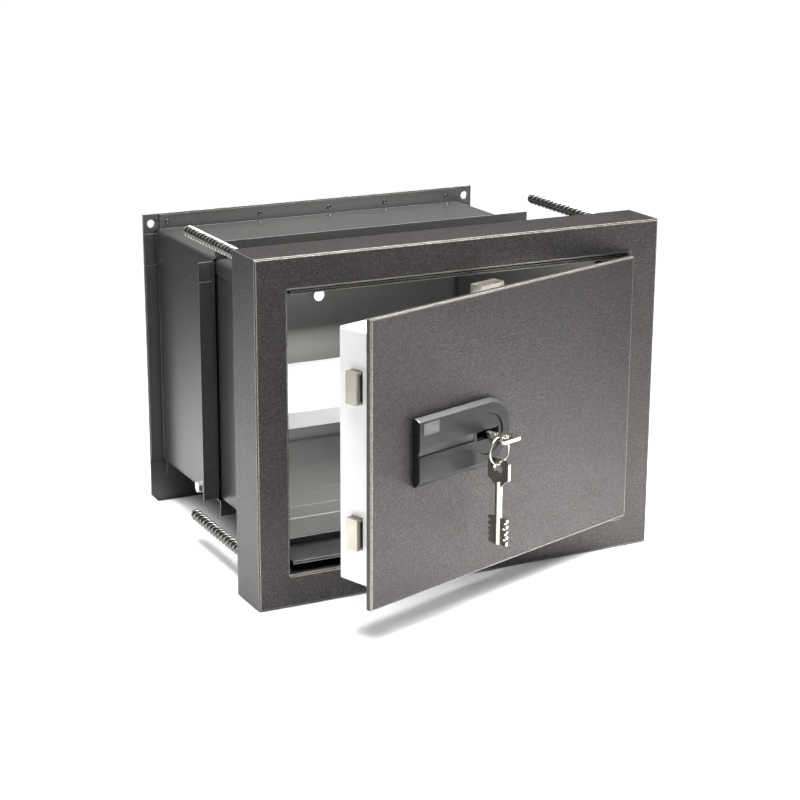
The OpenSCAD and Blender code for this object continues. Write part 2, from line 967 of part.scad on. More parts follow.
module bolt_screws() {
    mid_n = (left_bolt_n[0] + left_bolt_n[1]) / 2;
    color("silver")
    at_door()
    for (z = left_bolt_z) {
        mid_z = (z[0] + z[1]) / 2;
        rod_x([bar_x[0] - 9, bar_x[1] + 0.5], mid_n, mid_z, 2.5);
        rod_x([bar_x[1], bar_x[1] + 2.5], mid_n, mid_z, 4.4);
    }
}

// Upright bolt on its foot; ends gives its height range, free_end the end that leaves the door.
module vertical_bolt(ends, free_end) {
    pocket_z = free_end > lock_z ? [ends[0] + 4, ends[1] - rim] : [ends[0] + rim, ends[1] - 4];
    at_door()
    difference() {
        block(vert_bolt_x, vert_bolt_n, ends);
        block([vert_bolt_x[0] + rim, vert_bolt_x[1] - rim],
              [vert_bolt_n[0] - cut, vert_bolt_n[0] + pocket], pocket_z);
        bevel_x([vert_bolt_x[0] - cut, vert_bolt_x[1] + cut], vert_bolt_n[0], free_end, 0.6);
    }
}

module top_bolt() {
    color("lightgray") vertical_bolt(top_bolt_z, top_bolt_z[1]);
}

module bottom_bolt() {
    color("lightgray") vertical_bolt(bottom_bolt_z, bottom_bolt_z[0]);
}

// Flat rod from the cam's pin to the foot of a vertical bolt, up (1) or down (-1).
module bolt_rod(foot, dir) {
    pin_z = lock_z + dir * slot_r0;
    turn = foot - dir * strip_w / 2;
    foot_z = dir > 0 ? [foot - 3, foot] : [foot, foot + 3];
    far_x = vert_bolt_x[1];
    at_door()
    difference() {
        union() {
            slab(strip_n)
                union() {
                    rect([lock_x - strip_w / 2, lock_x + strip_w / 2],
                         [min(pin_z, foot), max(pin_z, foot)]);
                    rect([lock_x - strip_w / 2, far_x],
                         [turn - strip_w / 2, turn + strip_w / 2]);
                    translate([lock_x, pin_z]) circle(r = 4.6);
                }
            block(vert_bolt_x, [strip_n[0], vert_bolt_n[1]], foot_z);
            drive_pin(lock_x, pin_z);
        }
        rod_y(lock_x, [0, strip_n[1] + 0.2], lock_z, 14.6);
    }
}

module top_bolt_rod() {
    color("silver") bolt_rod(top_bolt_z[0], 1);
}

module bottom_bolt_rod() {
    color("silver") bolt_rod(bottom_bolt_z[1], -1);
}

// Spiral slot: its radius grows evenly with the turn, so the pins move in step with the key.
module spiral_slot(at) {
    step = 5;
    over = 3;
    function arm(a) = slot_r0 + bolt_throw * a / key_turn;
    turns = [for (a = [-over:step:key_turn + over]) a];
    outer = [for (a = turns) (arm(a) + slot_half) * [cos(at - a), sin(at - a)]];
    inner = [for (a = turns) (arm(a) - slot_half) * [cos(at - a), sin(at - a)]];
    polygon(concat(outer, [for (i = [len(inner) - 1:-1:0]) inner[i]]));
    for (a = [0, key_turn])
        translate(arm(a) * [cos(at - a), sin(at - a)])
            circle(r = slot_half);
}

module cam_disc() {
    color("silver")
    at_door()
    slab(cam_n)
        translate([lock_x, lock_z])
            difference() {
                circle(r = cam_r, $fn = 96);
                circle(r = barrel_r + 0.01);
                for (at = [90, 180, 270])
                    spiral_slot(at);
            }
}

module key_barrel() {
    color("goldenrod")
    at_door()
    difference() {
        rod_y(lock_x, [cam_n[0], case_n[0] + case_t], lock_z, barrel_r);
        rod_y(lock_x, [0, case_n[1]], lock_z, shank_r + play);
        block([lock_x - bit_reach - 0.5, lock_x + bit_reach + 0.5], [0, case_n[1]],
              [lock_z - bit_t / 2 - play, lock_z + bit_t / 2 + play]);
    }
}

// ---- keys ----

// A double-bit key lying along +Y, bow first, its end at Y = 0 and its flat facing Z.
module double_bit_key() {
    tip = key_len;
    shoulder = 6;
    notch = [[3.5, 2.4], [9, 4], [14, 1.8], [19.5, 3.2]];
    notch_w = 2.6;
    difference() {
        union() {
            translate([0, 0, -bow_t / 2])
                linear_extrude(height = bow_t)
                    union() {
                        round_rect([-bow_w / 2, bow_w / 2], [0, bow_len], 3);
                        polygon([[-bow_w / 2 + 2, bow_len - 1], [bow_w / 2 - 2, bow_len - 1],
                                 [shank_r, bow_len + shoulder],
                                 [-shank_r, bow_len + shoulder]]);
                    }
            rod_y(0, [bow_len + 1, tip], 0, shank_r);
            block([-bit_reach, bit_reach], [tip - bit_len, tip], [-bit_t / 2, bit_t / 2]);
        }
        translate([0, bow_hole_in, -bow_t])
            cylinder(r = bow_hole_r, h = 2 * bow_t);
        for (s = [-1, 1])
            for (n = notch)
                block([min(s * bit_reach, s * (bit_reach - n[1])) - (s < 0 ? 1 : 0),
                       max(s * bit_reach, s * (bit_reach - n[1])) + (s > 0 ? 1 : 0)],
                      [tip - bit_len + n[0], tip - bit_len + n[0] + notch_w],
                      [-bit_t, bit_t]);
    }
}

module key() {
    color("silver")
    at_door()
    translate([lock_x, key_n0, lock_z])
        double_bit_key();
}

module key_ring() {
    color("silver")
    at_door()
    translate([lock_x - ring_side, ring_n, lock_z - ring_drop])
        rotate([90, 0, 0])
            rotate_extrude($fn = 72)
                translate([ring_r, 0])
                    circle(r = ring_wire, $fn = 24);
}

module spare_key() {
    hole_z = lock_z - ring_drop - ring_r - spare_hang;
    color("silver")
    at_door()
    translate([lock_x - ring_side, ring_n, hole_z + bow_hole_in])
        rotate([-90, 0, 0])
            rotate([0, 90, 0])
                double_bit_key();
}

front_frame();
frame_returns();
frame_back_plate();
door_jambs();
wall_anchors();
front_shell();
front_top_cover();
shelf_brackets();
shelf_rivets();
shelf();
hinge_brackets();
hinge_pins();
rear_shell();
rear_top_cover();
rear_plate();
clamp_nuts();
clamp_screws();
door_plate();
door_lining();
lining_posts();
lining_screws();
hinge_arm_upper();
hinge_arm_lower();
hard_plate();
lock_case();
lock_cover();
lock_posts();
lock_screws();
lever_post();
lever_springs();
lever_pack();
escutcheon();
blank_plate();
keyhole_disc();
bolt_guide_rail();
strip_guides();
left_bolt_bar();
left_bolt_upper();
left_bolt_lower();
bolt_screws();
top_bolt();
top_bolt_rod();
bottom_bolt();
bottom_bolt_rod();
cam_disc();
key_barrel();
key();
key_ring();
spare_key();
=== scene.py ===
import json
import math

import bmesh
import bpy
from mathutils import Matrix, Vector

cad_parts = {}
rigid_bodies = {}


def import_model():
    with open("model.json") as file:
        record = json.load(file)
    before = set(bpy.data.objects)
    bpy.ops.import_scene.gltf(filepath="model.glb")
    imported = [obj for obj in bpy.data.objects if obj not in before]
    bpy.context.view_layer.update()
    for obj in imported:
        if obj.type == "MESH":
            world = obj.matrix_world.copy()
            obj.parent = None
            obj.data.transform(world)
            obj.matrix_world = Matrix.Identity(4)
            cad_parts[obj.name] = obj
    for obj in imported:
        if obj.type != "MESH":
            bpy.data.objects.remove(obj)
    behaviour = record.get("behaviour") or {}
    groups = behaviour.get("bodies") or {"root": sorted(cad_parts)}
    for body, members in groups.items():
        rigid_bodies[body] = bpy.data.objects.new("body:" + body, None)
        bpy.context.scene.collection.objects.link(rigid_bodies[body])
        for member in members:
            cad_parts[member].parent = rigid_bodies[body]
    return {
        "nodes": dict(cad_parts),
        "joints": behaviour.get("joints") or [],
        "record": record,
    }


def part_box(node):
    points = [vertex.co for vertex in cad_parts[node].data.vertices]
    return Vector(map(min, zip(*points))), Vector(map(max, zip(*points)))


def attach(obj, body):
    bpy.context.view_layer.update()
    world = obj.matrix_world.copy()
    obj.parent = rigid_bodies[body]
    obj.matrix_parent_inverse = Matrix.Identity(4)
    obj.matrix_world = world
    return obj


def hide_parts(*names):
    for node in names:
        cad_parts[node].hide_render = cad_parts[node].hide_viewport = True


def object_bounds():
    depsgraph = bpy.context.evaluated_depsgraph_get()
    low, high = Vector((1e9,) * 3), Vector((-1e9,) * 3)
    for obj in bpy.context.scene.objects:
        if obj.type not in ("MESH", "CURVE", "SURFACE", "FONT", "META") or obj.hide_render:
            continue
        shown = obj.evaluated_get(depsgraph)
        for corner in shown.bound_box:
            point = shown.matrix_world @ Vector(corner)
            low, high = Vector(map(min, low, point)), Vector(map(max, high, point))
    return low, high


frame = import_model()
cad_low, cad_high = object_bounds()

MM = 0.001
NODES = frame["nodes"]
BODIES = frame["record"]["behaviour"]["bodies"]
BODY_OF = {node: body for body, nodes in BODIES.items() for node in nodes}
SLOT_OF = {part["node"]: part["material_slot"] for part in frame["record"]["subparts"]}
KEY_TURN = next(j for j in frame["joints"] if j["name"] == "key_turn")


# ---------------------------------------------------------------- shader helpers

class Shader:
    """A Principled material with short calls for the nodes that feed it."""

    def __init__(self, name, color, rough, metallic=0.0):
        self.material = bpy.data.materials.new(name)
        self.material.use_nodes = True
        self.tree = self.material.node_tree
        self.bsdf = self.tree.nodes["Principled BSDF"]
        self.set("Base Color", (*color, 1.0))
        self.set("Roughness", rough)
        self.set("Metallic", metallic)
        self.coords = self.tree.nodes.new("ShaderNodeTexCoord").outputs["Object"]

    def set(self, socket, value):
        self.bsdf.inputs[socket].default_value = value

    def link(self, output, socket):
        self.tree.links.new(output, socket)

    def stretched(self, scale):
        """Object coordinates scaled by axis: a small number draws a texture out along that axis."""
        mapping = self.tree.nodes.new("ShaderNodeMapping")
        mapping.inputs["Scale"].default_value = scale
        self.link(self.coords, mapping.inputs["Vector"])
        return mapping.outputs["Vector"]

    def noise(self, scale, detail=3.0, rough=0.5, vector=None, distortion=0.0):
        node = self.tree.nodes.new("ShaderNodeTexNoise")
        node.inputs["Scale"].default_value = scale
        node.inputs["Detail"].default_value = detail
        node.inputs["Roughness"].default_value = rough
        node.inputs["Distortion"].default_value = distortion
        self.link(vector or self.coords, node.inputs["Vector"])
        return node.outputs["Fac"]

    def span(self, value, low, high, to_low, to_high):
        """value's range low..high stretched to to_low..to_high, and cut off outside it."""
        node = self.tree.nodes.new("ShaderNodeMapRange")
        for socket, number in (("From Min", low), ("From Max", high),
                               ("To Min", to_low), ("To Max", to_high)):
            node.inputs[socket].default_value = number
        self.link(value, node.inputs["Value"])
        return node.outputs["Result"]

    def product(self, a, b):
        node = self.tree.nodes.new("ShaderNodeMath")
        node.operation = "MULTIPLY"
        self.link(a, node.inputs[0])
        self.link(b, node.inputs[1])
        return node.outputs["Value"]

    def mix(self, factor, a, b):
        """Blend of a and b, each a colour or another node's output."""
        node = self.tree.nodes.new("ShaderNodeMix")
        node.data_type = "RGBA"
        self.link(factor, node.inputs["Factor"])
        for socket, value in ((node.inputs["A"], a), (node.inputs["B"], b)):
            if isinstance(value, tuple):
                socket.default_value = (*value, 1.0)
            else:
                self.link(value, socket)
        return node.outputs["Result"]

    def bump(self, height, strength, distance):
        node = self.tree.nodes.new("ShaderNodeBump")
        node.inputs["Strength"].default_value = strength
        node.inputs["Distance"].default_value = distance
        self.link(height, node.inputs["Height"])
        before = self.bsdf.inputs["Normal"]
        if before.is_linked:
            self.link(before.links[0].from_socket, node.inputs["Normal"])
        self.link(node.outputs["Normal"], before)

    def painted_shade_mask(self, reach, low=0.35, high=0.8):
        """0 in inside corners, 1 out in the open: a mask for the painted shade in seams and inside
        corners.
        """
        node = self.tree.nodes.new("ShaderNodeAmbientOcclusion")
        node.samples = 4
        node.inputs["Distance"].default_value = reach
        return self.span(node.outputs["AO"], low, high, 0.0, 1.0)

    def color(self, output):
        self.link(output, self.bsdf.inputs["Base Color"])

    def roughness(self, output):
        self.link(output, self.bsdf.inputs["Roughness"])


# ---------------------------------------------------------------- materials

def hammered_paint(name="frame_paint", wear_and_sheen=0.0):
    """Dark hammered finish; the last argument lightens the ridges along an edge: paint worn thin
    there, and a painted highlight.
    """
    s = Shader(name, (0.08, 0.074, 0.071), 0.4)
    s.set("Metallic", 0.75)
    hammer = s.noise(700, 1.5, 0.6, distortion=1.2)
    grain = s.noise(1000, 2.0, 0.6)
    clouds = s.noise(9, 3.0)
    dark = s.mix(s.span(clouds, 0.3, 0.7, 0, 1), (0.037, 0.034, 0.0328), (0.045, 0.0415, 0.0402))
    speck = s.mix(s.span(hammer, 0.46, 0.66, 0, 0.45), dark, (0.16, 0.15, 0.145))
    # painted shade: near-black mixed into inside corners and seams
    shaded = s.mix(s.painted_shade_mask(6 * MM), (0.008, 0.007, 0.007), speck)
    # painted highlight and wear: near an edge the hammer ridges turn light grey
    bare_and_sheen = s.span(hammer, 0.35, 0.55, wear_and_sheen * 0.55, wear_and_sheen)
    s.color(s.mix(bare_and_sheen, shaded, (0.62, 0.6, 0.57)))
    s.roughness(s.span(grain, 0.3, 0.7, 0.36, 0.26))
    s.bump(hammer, 1.0, 0.9 * MM)
    s.bump(grain, 0.5, 0.25 * MM)
    return s.material


def body_paint(name="body_paint", wear_and_sheen=0.0):
    """Smooth dark paint; the last argument, above 0, lightens the sheets' edges: paint worn thin
    there, and a painted highlight.
    """
    s = Shader(name, (0.07, 0.07, 0.07), 0.3)
    s.set("Metallic", 0.5)
    clouds = s.noise(5, 2.0)
    orange_peel = s.noise(260, 2.0)
    sparkle = s.noise(1100, 1.0)
    base = s.mix(s.span(clouds, 0.3, 0.7, 0, 1), (0.056, 0.055, 0.053), (0.070, 0.069, 0.066))
    flecked = s.mix(s.span(sparkle, 0.55, 0.75, 0, 0.3), base, (0.2, 0.19, 0.18))
    # painted shade: near-black mixed into inside corners and seams
    shaded = s.mix(s.painted_shade_mask(8 * MM, 0.5, 0.85), (0.006, 0.006, 0.006), flecked)
    # painted highlight and wear: the edges lighten where the last argument is above 0
    s.color(s.mix(s.span(sparkle, 0.3, 0.6, wear_and_sheen * 0.6, wear_and_sheen), shaded, (0.36, 0.35, 0.34)))
    s.roughness(s.span(clouds, 0.3, 0.7, 0.29, 0.34))
    s.bump(orange_peel, 0.12, 0.2 * MM)
    return s.material


def white_enamel():
    s = Shader("white_enamel", (0.76, 0.76, 0.76), 0.35)
    s.set("Coat Weight", 0.15)
    clouds = s.noise(11, 3.0)
    peel = s.noise(420, 2.0)
    s.color(s.mix(s.span(clouds, 0.3, 0.7, 0, 1), (0.73, 0.735, 0.74), (0.79, 0.79, 0.785)))
    s.roughness(s.span(peel, 0.3, 0.7, 0.32, 0.42))
    s.bump(peel, 0.1, 0.2 * MM)
    return s.material


def nickel(name, tint, rough, brush=(1.0, 1.0, 1.0), wear=0.35):
    """Plated steel: brush stretches the fine scratches along one axis."""
    s = Shader(name, tint, rough, 1.0)
    scratches = s.noise(900, 3.0, 0.65, s.stretched(brush))
    stains = s.noise(60, 4.0, 0.6)
    darker = tuple(c * 0.72 for c in tint)
    stained = s.mix(s.span(stains, 0.35, 0.75, 0, wear), tint, darker)
    s.color(s.mix(s.span(scratches, 0.45, 0.75, 0, 0.25), stained, darker))
    s.roughness(s.span(stains, 0.3, 0.7, rough * 0.8, rough * 1.35))
    s.bump(scratches, 0.12, 0.12 * MM)
    return s.material


def brass():
    s = Shader("lock_brass", (0.72, 0.52, 0.22), 0.3, 1.0)
    stains = s.noise(80, 4.0, 0.6)
    s.color(s.mix(s.span(stains, 0.35, 0.7, 0, 0.7), (0.76, 0.56, 0.25), (0.48, 0.33, 0.14)))
    s.roughness(s.span(stains, 0.3, 0.7, 0.22, 0.42))
    s.bump(s.noise(700, 2.0), 0.1, 0.1 * MM)
    return s.material


def moulded_plastic():
    s = Shader("lock_plastic", (0.03, 0.03, 0.03), 0.3)
    s.set("IOR", 1.3)
    grain = s.noise(1500, 2.0, 0.6)
    clouds = s.noise(22, 3.0)
    base = s.mix(s.span(clouds, 0.3, 0.7, 0, 1), (0.010, 0.010, 0.0103), (0.014, 0.014, 0.0143))
    s.color(base)
    s.roughness(s.span(grain, 0.3, 0.7, 0.3, 0.38))
    s.bump(grain, 0.1, 0.1 * MM)
    return s.material


def rolled_steel():
    s = Shader("anchor_steel", (0.11, 0.10, 0.095), 0.34, 0.9)
    scale_marks = s.noise(130, 5.0, 0.65)
    rust = s.noise(40, 4.0, 0.6)
    base = s.mix(s.span(scale_marks, 0.35, 0.7, 0, 1), (0.03, 0.029, 0.028), (0.11, 0.105, 0.1))
    ridge = s.tree.nodes.new("ShaderNodeNewGeometry").outputs["Pointiness"]
    # painted highlight and wear: the crests of the ribs turn near white, as metal rubbed bright and
    # as a painted glint
    wear_and_sheen = s.mix(s.span(ridge, 0.505, 0.56, 0, 1), base, (0.8, 0.78, 0.75))
    s.color(s.mix(s.span(rust, 0.62, 0.8, 0, 0.35), wear_and_sheen, (0.13, 0.075, 0.05)))
    s.roughness(s.span(scale_marks, 0.3, 0.7, 0.26, 0.5))
    s.bump(scale_marks, 0.25, 0.25 * MM)
    return s.material


MATERIALS = {
    "frame_paint": hammered_paint(),
    "body_paint": body_paint(),
    "white_enamel": white_enamel(),
    "bolt_nickel": nickel("bolt_nickel", (0.44, 0.405, 0.35), 0.34, (0.15, 1.0, 1.0)),
    "key_nickel": nickel("key_nickel", (0.52, 0.49, 0.43), 0.17, (1.0, 1.0, 0.2), 0.5),
    "zinc_steel": nickel("zinc_steel", (0.45, 0.46, 0.47), 0.3, (1.0, 1.0, 0.2)),
    "hardened_steel": nickel("hardened_steel", (0.26, 0.27, 0.3), 0.38),
    "anchor_steel": rolled_steel(),
    "lock_brass": brass(),
    "lock_plastic": moulded_plastic(),
}
# Lighter copies for the rounded edges: a painted highlight along the edges, and paint worn thin
# there.
EDGE_MATERIALS = {
    "frame_paint": hammered_paint("frame_paint_edge", 0.5),
    "body_paint": body_paint("body_paint_edge", 0.8),
}


# ---------------------------------------------------------------- geometry helpers

ROUND_ANGLE = 40       # an edge that turns by more degrees than this is rounded
ROUND_SEGMENTS = 3
ESCUTCHEON_CREASE = 10
FLAT_ANGLE = 0.6       # CAD triangles that lie within this many degrees become one face

# Millimetres by which the edges of each CAD node are rounded.
EDGE_RADII = {
    "front_frame": 0.8, "frame_returns": 0.5, "frame_back_plate": 0.6, "door_jambs": 0.7,
    "front_shell": 0.6, "front_top_cover": 0.5, "rear_shell": 0.6, "rear_top_cover": 0.5,
    "rear_plate": 0.6, "shelf": 0.6, "shelf_brackets": 0.4, "door_plate": 0.7,
    "blank_plate": 0.15, "door_lining": 0.6, "escutcheon": 0.9, "keyhole_disc": 0.5,
    "left_bolt_upper": 0.5, "left_bolt_lower": 0.5, "top_bolt": 0.5, "bottom_bolt": 0.5,
    "key": 0.45, "spare_key": 0.45, "clamp_nuts": 0.4, "clamp_screws": 0.5,
    "hinge_arm_upper": 0.5, "hinge_arm_lower": 0.5, "key_barrel": 0.3,
}


def add_object(name, mesh, slot, body, replaces=()):
    obj = bpy.data.objects.new(name, mesh)
    bpy.context.scene.collection.objects.link(obj)
    mesh.materials.clear()
    mesh.materials.append(MATERIALS[slot])
    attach(obj, body)
    if replaces:
        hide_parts(*replaces)
    return obj


def mesh_from(name, bm, smooth_angle):
    """A finished mesh, smooth but for the edges that turn by more than smooth_angle degrees."""
    mesh = bpy.data.meshes.new(name)
    bmesh.ops.recalc_face_normals(bm, faces=bm.faces)
    bm.to_mesh(mesh)
    bm.free()
    mesh.shade_smooth()
    mesh.set_sharp_from_angle(angle=math.radians(smooth_angle))
    return mesh


def area_of(bm):
    """Area as it is drawn: a face that has swallowed a hole shows up as extra area."""
    triangles = bm.calc_loop_triangles()
    corners = [[loop.vert.co for loop in triangle] for triangle in triangles]
    return sum((b - a).cross(c - a).length / 2 for a, b, c in corners)


def dressed(node, edge, keep_off=(), crease=ROUND_ANGLE):
    """The CAD node's shape as clean faces with every sharp edge rounded by edge millimetres.
    keep_off lists places, each with the reach round it in which edges are not rounded. A node
    that has such places also draws crisp every edge that turns by more than crease degrees
    and is not rounded."""
    bm = bmesh.new()
    bm.from_mesh(NODES[node].data)
    bmesh.ops.remove_doubles(bm, verts=bm.verts, dist=1e-6)
    whole = bm.copy()
    bmesh.ops.dissolve_limit(bm, angle_limit=math.radians(FLAT_ANGLE), verts=bm.verts, edges=bm.edges,
                             delimit={"NORMAL"})
    if abs(area_of(bm) / area_of(whole) - 1) > 1e-4:
        bm.free()
        bm = whole
    bmesh.ops.triangulate(bm, faces=[f for f in bm.faces if len(f.verts) > 4])
    for layer in list(bm.loops.layers.uv):
        bm.loops.layers.uv.remove(layer)
    if keep_off:
        weight = bm.edges.layers.float.new("bevel_weight_edge")
        for line in bm.edges:
            turn = math.degrees(line.calc_face_angle(0.0))
            near = any((line.verts[0].co - place).length < reach for place, reach in keep_off)
            rounded = turn > ROUND_ANGLE and not near
            line[weight] = 1.0 if rounded else 0.0
            line.smooth = rounded or turn < crease
    mesh = bpy.data.meshes.new(node + "_skin")
    bm.to_mesh(mesh)
    bm.free()
    if "custom_normal" in mesh.attributes:
        mesh.attributes.remove(mesh.attributes["custom_normal"])
    mesh.shade_smooth()
    obj = add_object(node + "_skin", mesh, SLOT_OF[node], BODY_OF[node], (node,))
    bevel = obj.modifiers.new("rounded_edges", "BEVEL")
    bevel.width = edge * MM
    bevel.segments = ROUND_SEGMENTS
    bevel.limit_method = "WEIGHT" if keep_off else "ANGLE"
    bevel.angle_limit = math.radians(ROUND_ANGLE)
    bevel.use_clamp_overlap = True
    bevel.harden_normals = False
    bevel.miter_outer = "MITER_ARC"
    if SLOT_OF[node] in EDGE_MATERIALS:
        mesh.materials.append(EDGE_MATERIALS[SLOT_OF[node]])
        bevel.material = 1
    weighted = obj.modifiers.new("flat_faces", "WEIGHTED_NORMAL")
    weighted.keep_sharp = bool(keep_off)
    weighted.weight = 90
    return obj


def paint_node(node):
    """A CAD node whose shape is kept gets its material."""
    obj = NODES[node]
    for slot in obj.material_slots:
        slot.material = MATERIALS[SLOT_OF[node]]
    if not obj.material_slots:
        obj.data.materials.append(MATERIALS[SLOT_OF[node]])


# ---------------------------------------------------------------- anchors

def ribbed_bar(name, start, length, radius):
    """A rolled bar along +Y with crescent ribs on two sides and a seam between them."""
    core = radius - 1.15 * MM
    pitch = 8 * MM
    lean = 3.2 * MM
    rib_half = 0.17        # half a rib's width, as a share of the pitch
    seam_height = 0.4      # as a share of a rib's height
    end_chamfer = 0.9      # radius of the flat end, as a share of the core's
    around, along = 64, int(length / (0.55 * MM))
    bm = bmesh.new()
    rows = []
    for i in range(along + 1):
        y = length * i / along
        row = []
        for k in range(around):
            turn = 2 * math.pi * k / around
            side = math.sin(turn)
            shift = lean * math.cos(turn) * (1 if side > 0 else -1)
            phase = ((y + shift + (0 if side > 0 else pitch / 2)) / pitch) % 1.0
            rib = max(0.0, 1 - abs(phase - 0.5) / rib_half)
            crescent = min(1.0, abs(side) * 1.8) ** 0.8
            seam = max(0.0, 1 - abs(abs(math.cos(turn)) - 1) / 0.012) * seam_height
            swell = max(min(1.0, rib * 1.6) * crescent, seam)
            if i in (0, along):
                swell = 0.0
            r = core + (radius - core) * swell
            row.append(bm.verts.new((start[0] + r * math.cos(turn), start[1] + y,
                                     start[2] + r * math.sin(turn))))
        rows.append(row)
    for lower, upper in zip(rows, rows[1:]):
        for k in range(around):
            n = (k + 1) % around
            bm.faces.new((lower[k], lower[n], upper[n], upper[k]))
    for row, y in ((rows[0], 0), (rows[-1], length)):
        centre = Vector(start) + Vector((0, y, 0))
        inner = [bm.verts.new(centre + (v.co - centre) * end_chamfer) for v in row]
        for k in range(around):
            n = (k + 1) % around
            bm.faces.new((row[k], row[n], inner[n], inner[k]))
        bm.faces.new(inner)
    return mesh_from(name, bm, 40)


def anchors():
    low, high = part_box("wall_anchors")
    radius = 6 * MM
    places = [(x, z) for x in (low.x + radius, high.x - radius)
              for z in (low.z + radius, high.z - radius)]
    for i, (x, z) in enumerate(places):
        mesh = ribbed_bar(f"anchor_{i}", (x, low.y, z), high.y - low.y, radius)
        add_object(f"wall_anchor_{i}", mesh, "anchor_steel", "frame",
                   ("wall_anchors",) if i == 0 else ())


# ---------------------------------------------------------------- key ring and welds

def split_ring():
    """Two turns of wire side by side, as a coil that fills the CAD ring's thickness."""
    low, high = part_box("key_ring")
    centre = (low + high) / 2
    axis = Vector(KEY_TURN["axis"]).normalized()
    across = Vector((0, 0, 1)).cross(axis).normalized()
    upright = axis.cross(across)
    wire, outer = 0.5 * MM, (high.z - low.z) / 2
    radius = outer - 1 * MM
    turns, steps, around = 1.93, 150, 10
    bm = bmesh.new()
    rows = []
    for i in range(steps + 1):
        turn = 2 * math.pi * turns * i / steps
        radial = across * math.cos(turn) + upright * math.sin(turn)
        middle = centre + radial * radius + axis * (2 * wire * (i / steps - 0.5))
        rows.append([bm.verts.new(middle + (radial * 1.5 * math.cos(a) + axis * math.sin(a)) * wire)
                     for a in (2 * math.pi * k / around for k in range(around))])
    for one, two in zip(rows, rows[1:]):
        for k in range(around):
            n = (k + 1) % around
            bm.faces.new((one[k], one[n], two[n], two[k]))
    bm.faces.new(rows[0])
    bm.faces.new(rows[-1])
    add_object("split_ring", mesh_from("split_ring", bm, 50), SLOT_OF["key_ring"],
               BODY_OF["key_ring"], ("key_ring",))


def weld_mark(name, place, normal, radius):
    """A shallow dished dot with a raised rim, as a spot weld leaves."""
    profile = ((1.0, -0.1), (0.9, 0.26), (0.72, 0.36), (0.5, 0.1), (0.0, 0.04))
    across = normal.orthogonal().normalized()
    upright = normal.cross(across)
    around = 24
    bm = bmesh.new()
    rows = []
    for reach, height in profile[:-1]:
        rows.append([bm.verts.new(place + normal * height * radius + reach * radius
                                  * (across * math.cos(a) + upright * math.sin(a)))
                     for a in (2 * math.pi * k / around for k in range(around))])
    rows[0:0] = [[bm.verts.new(v.co - normal * 0.25 * radius) for v in rows[0]]]
    top = bm.verts.new(place + normal * profile[-1][1] * radius)
    for one, two in zip(rows, rows[1:]):
        for k in range(around):
            n = (k + 1) % around
            bm.faces.new((one[k], one[n], two[n], two[k]))
    for k in range(around):
        bm.faces.new((rows[-1][k], rows[-1][(k + 1) % around], top))
    bm.faces.new(rows[0])
    add_object(name, mesh_from(name, bm, 60), "body_paint", "rear_box")


def weld_marks():
    """Spot welds along the rear cover: through its flange, near its rear edge, down its sides."""
    low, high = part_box("rear_top_cover")
    front, up = Vector((0, -1, 0)), Vector((0, 0, 1))
    cover_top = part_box("rear_shell")[1].z + 4.6 * MM
    cover_side = 184.6
    flange_x = (-172, -64.6, 18.8, 87.7, 166)
    for i, x in enumerate(flange_x):
        place = Vector((x * MM, high.y - 1.4 * MM, high.z - 8 * MM))
        weld_mark(f"flange_weld_{i}", place, front, 2.6 * MM)
        if i > 0:
            place = Vector((x * MM - 5 * MM, high.y - 14 * MM, cover_top))
            weld_mark(f"cover_weld_{i}", place, up, 2.4 * MM)
    for side, x in (("left", -1), ("right", 1)):
        for i, y in enumerate((high.y - 14 * MM, low.y + 58 * MM, low.y + 40 * MM)):
            place = Vector((x * cover_side * MM, y, low.z + 6.5 * MM))
            weld_mark(f"{side}_weld_{i}", place, Vector((x, 0, 0)), 1.9 * MM)


# ---------------------------------------------------------------- the object

def places_kept_sharp():
    """Holes whose edges are too close to long thin faces to be rounded cleanly."""
    keyhole = Vector(KEY_TURN["pos_m"])
    low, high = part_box("clamp_screws")
    middle = (low + high) / 2
    screws = [Vector((x, middle.y, middle.z)) for x in (low.x, high.x)]
    wall_bolt = next(m for m in frame["record"]["mounts"] if m["name"] == "wall_bolt_hole")
    return {
        "door_plate": [(keyhole, 70 * MM)],
        "escutcheon": [(keyhole, 24 * MM)],
        "rear_shell": [(place, 16 * MM) for place in screws],
        "rear_plate": [(Vector(wall_bolt["pos_m"]), 16 * MM)],
    }


def build():
    anchors()
    kept_sharp = places_kept_sharp()
    for node, edge in EDGE_RADII.items():
        dressed(node, edge, keep_off=kept_sharp.get(node, ()),
                crease=ESCUTCHEON_CREASE if node == "escutcheon" else ROUND_ANGLE)
    bpy.data.objects["blank_plate_skin"].data.materials[0] = nickel(
        "blank_plate_steel", (0.11, 0.11, 0.112), 0.36)
    split_ring()
    weld_marks()
    for node in NODES:
        if not NODES[node].hide_render:
            paint_node(node)


# ---------------------------------------------------------------- stage

def floor():
    """Pale floor; far from the object the camera sees it as bright as a lit backdrop."""
    glow_from, glow_full = 0.36, 0.9
    bpy.ops.mesh.primitive_plane_add(size=60, location=(0, 0, cad_low.z - 0.2 * MM))
    obj = bpy.context.object
    obj.name = "floor"
    s = Shader("floor", (0.83, 0.83, 0.83), 0.75)
    s.color(s.mix(s.span(s.noise(1.5, 2.0), 0.3, 0.7, 0, 1), (0.82, 0.82, 0.82), (0.84, 0.84, 0.84)))
    away = s.tree.nodes.new("ShaderNodeVectorMath")
    away.operation = "LENGTH"
    s.link(s.coords, away.inputs[0])
    seen = s.tree.nodes.new("ShaderNodeLightPath").outputs["Is Camera Ray"]
    glow = s.product(s.span(away.outputs["Value"], glow_from, glow_full, 0, 1), seen)
    s.set("Emission Color", (1, 1, 1, 1))
    s.link(glow, s.bsdf.inputs["Emission Strength"])
    obj.data.materials.append(s.material)


